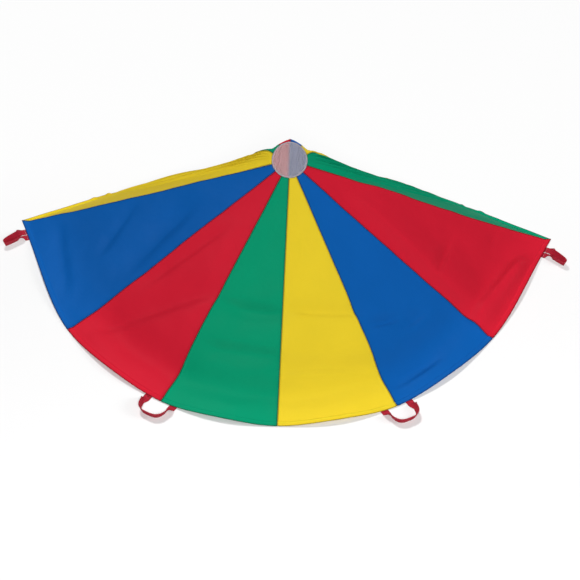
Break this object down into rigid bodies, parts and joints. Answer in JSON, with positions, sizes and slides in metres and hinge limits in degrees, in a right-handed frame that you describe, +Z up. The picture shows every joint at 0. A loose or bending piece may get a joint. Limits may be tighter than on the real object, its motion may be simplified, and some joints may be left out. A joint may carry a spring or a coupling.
{
  "type": "play parachute",
  "caption": "Round play parachute of sewn coloured cloth gores with a mesh vent and webbing hand loops on its hem, set up as a low tent with its back half gathered in folds.",
  "frame": {"origin": "middle of the part's outline on the floor", "axes": "+X along the line between the two side corners, to the right as seen from the front; +Y to the gathered back; +Z up"},
  "size_m": [1.8042, 1.2678, 0.3564],
  "materials": {
    "cloth_blue": "matte",
    "cloth_red": "matte",
    "cloth_green": "matte",
    "cloth_yellow": "matte",
    "mesh_grey": "matte",
    "webbing_red": "matte"
  },
  "bodies": {
    "canopy": {"gore_01_blue": "cloth_blue", "gore_02_red": "cloth_red", "gore_03_green": "cloth_green", "gore_04_yellow": "cloth_yellow", "gore_05_blue": "cloth_blue", "gore_06_red": "cloth_red", "gore_07_green": "cloth_green", "gore_08_yellow": "cloth_yellow", "gore_09_blue": "cloth_blue", "gore_10_red": "cloth_red", "gore_11_green": "cloth_green", "gore_12_yellow": "cloth_yellow", "vent_net": "mesh_grey", "vent_rim": "mesh_grey", "handle_1_tab_a": "webbing_red", "handle_1_tab_b": "webbing_red", "handle_2_tab_a": "webbing_red", "handle_2_tab_b": "webbing_red", "handle_3_tab_a": "webbing_red", "handle_3_tab_b": "webbing_red", "handle_4_tab_a": "webbing_red", "handle_4_tab_b": "webbing_red", "handle_5_tab_a": "webbing_red", "handle_5_tab_b": "webbing_red", "handle_6_tab_a": "webbing_red", "handle_6_tab_b": "webbing_red"},
    "handle_1": {"handle_1": "webbing_red"},
    "handle_2": {"handle_2": "webbing_red"},
    "handle_3": {"handle_3": "webbing_red"},
    "handle_4": {"handle_4": "webbing_red"},
    "handle_5": {"handle_5": "webbing_red"},
    "handle_6": {"handle_6": "webbing_red"}
  },
  "joints": [
    {"name": "handle_1_fold", "type": "hinge", "parent": "canopy", "child": "handle_1", "pos_m": [-0.83362, 0.17512, 0.0015], "axis": [-0.3232, 0.9463, 0], "range_deg": [0, 110]},
    {"name": "handle_2_fold", "type": "hinge", "parent": "canopy", "child": "handle_2", "pos_m": [-0.36017, -0.5514, 0.0015], "axis": [-0.8696, 0.4937, 0], "range_deg": [0, 125]},
    {"name": "handle_3_fold", "type": "hinge", "parent": "canopy", "child": "handle_3", "pos_m": [0.35971, -0.53188, 0.0015], "axis": [-0.847, -0.5316, 0], "range_deg": [0, 125]},
    {"name": "handle_4_fold", "type": "hinge", "parent": "canopy", "child": "handle_4", "pos_m": [0.83591, 0.19045, 0.0015], "axis": [-0.3644, -0.9313, 0], "range_deg": [0, 110]},
    {"name": "handle_5_fold", "type": "hinge", "parent": "canopy", "child": "handle_5", "pos_m": [0.18034, 0.48732, 0.0015], "axis": [0.9258, -0.378, 0], "range_deg": [0, 110]},
    {"name": "handle_6_fold", "type": "hinge", "parent": "canopy", "child": "handle_6", "pos_m": [-0.17502, 0.48731, 0.0015], "axis": [0.9232, 0.3843, 0], "range_deg": [0, 110]}
  ]
}
